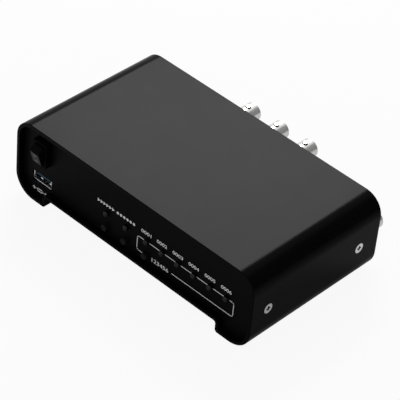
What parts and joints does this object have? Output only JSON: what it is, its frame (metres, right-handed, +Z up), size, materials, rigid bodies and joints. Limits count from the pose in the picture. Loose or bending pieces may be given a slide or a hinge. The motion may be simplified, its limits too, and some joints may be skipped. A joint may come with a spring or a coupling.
{
  "type": "video encoder",
  "caption": "Low desktop video encoder: rounded black extruded case on hollow side feet; recessed front with rocker switch, data port, buttons and indicators; bayonet video inputs behind.",
  "frame": {"origin": "centre of the whole footprint, sockets included, level with the underside of the feet", "axes": "+X to the right seen from the front, along the case's width; +Y from the front to the back; +Z up"},
  "size_m": [0.16, 0.1052, 0.0455],
  "materials": {
    "case_black": "satin black powder coat on aluminium",
    "panel_black": "smooth satin black paint",
    "zinc_steel": "plain zinc plate",
    "nickel_screw": "bright nickel plate",
    "switch_black": "fine satin black",
    "rocker_black": "smooth black",
    "brass_contact": "plain brass",
    "gold_contact": "gold plate",
    "board_green": "green solder mask",
    "connector_black": "moulded black",
    "chip_black": "moulded epoxy",
    "sink_black": "black anodised",
    "inductor_grey": "pressed ferrite",
    "can_aluminium": "plain can",
    "port_steel": "nickel plated sheet",
    "port_blue": "moulded blue",
    "insert_blue": "moulded blue",
    "insulator_white": "moulded white",
    "coax_nickel": "bright nickel plate",
    "button_black": "smooth black",
    "led_smoke": "smoked clear resin, unlit"
  },
  "bodies": {
    "case": {"audio_jack": "connector_black", "board_link": "connector_black", "board_screws": "zinc_steel", "board_standoffs": "zinc_steel", "capacitors": "can_aluminium", "chassis_tray": "zinc_steel", "coax_contacts": "gold_contact", "coax_insulators": "insulator_white", "coax_jack_1": "coax_nickel", "coax_jack_2": "coax_nickel", "coax_jack_3": "coax_nickel", "coax_jack_4": "coax_nickel", "coax_nuts": "coax_nickel", "codec_chip": "chip_black", "control_board": "board_green", "control_posts": "zinc_steel", "d_insert": "insert_blue", "d_shell": "port_steel", "front_panel": "panel_black", "hd_socket": "port_steel", "hd_tongue": "connector_black", "heat_sink": "sink_black", "inductors": "inductor_grey", "input_board": "board_green", "input_standoffs": "brass_contact", "jack_screws": "nickel_screw", "led_1": "led_smoke", "led_2": "led_smoke", "led_3": "led_smoke", "led_4": "led_smoke", "led_5": "led_smoke", "led_6": "led_smoke", "led_7": "led_smoke", "led_8": "led_smoke", "led_spacers": "connector_black", "link_header": "connector_black", "main_board": "board_green", "memory_chips": "chip_black", "network_jack": "port_steel", "port_contacts": "gold_contact", "port_shell": "port_steel", "port_tongue": "port_blue", "power_jack": "connector_black", "rear_panel": "panel_black", "side_nuts": "zinc_steel", "side_screws": "nickel_screw", "sleeve": "case_black", "switch_board": "board_green", "switch_frame": "switch_black", "switch_terminals": "brass_contact", "tact_switches": "connector_black"},
    "rocker": {"rocker": "rocker_black"},
    "button_1": {"button_1": "button_black"},
    "button_2": {"button_2": "button_black"},
    "button_3": {"button_3": "button_black"}
  },
  "joints": [
    {"name": "rocker_tilt", "type": "hinge", "parent": "case", "child": "rocker", "pos_m": [-0.0635, -0.04667, 0.0316], "axis": [1, 0, 0], "range_deg": [-35, 0]},
    {"name": "button_1_press", "type": "slide", "parent": "case", "child": "button_1", "axis": [0, 1, 0], "range_m": [0, 0.0003], "stiffness_N_per_m": 1500, "springref_m": -0.0005},
    {"name": "button_2_press", "type": "slide", "parent": "case", "child": "button_2", "axis": [0, 1, 0], "range_m": [0, 0.0003], "stiffness_N_per_m": 1500, "springref_m": -0.0005},
    {"name": "button_3_press", "type": "slide", "parent": "case", "child": "button_3", "axis": [0, 1, 0], "range_m": [0, 0.0003], "stiffness_N_per_m": 1500, "springref_m": -0.0005}
  ]
}
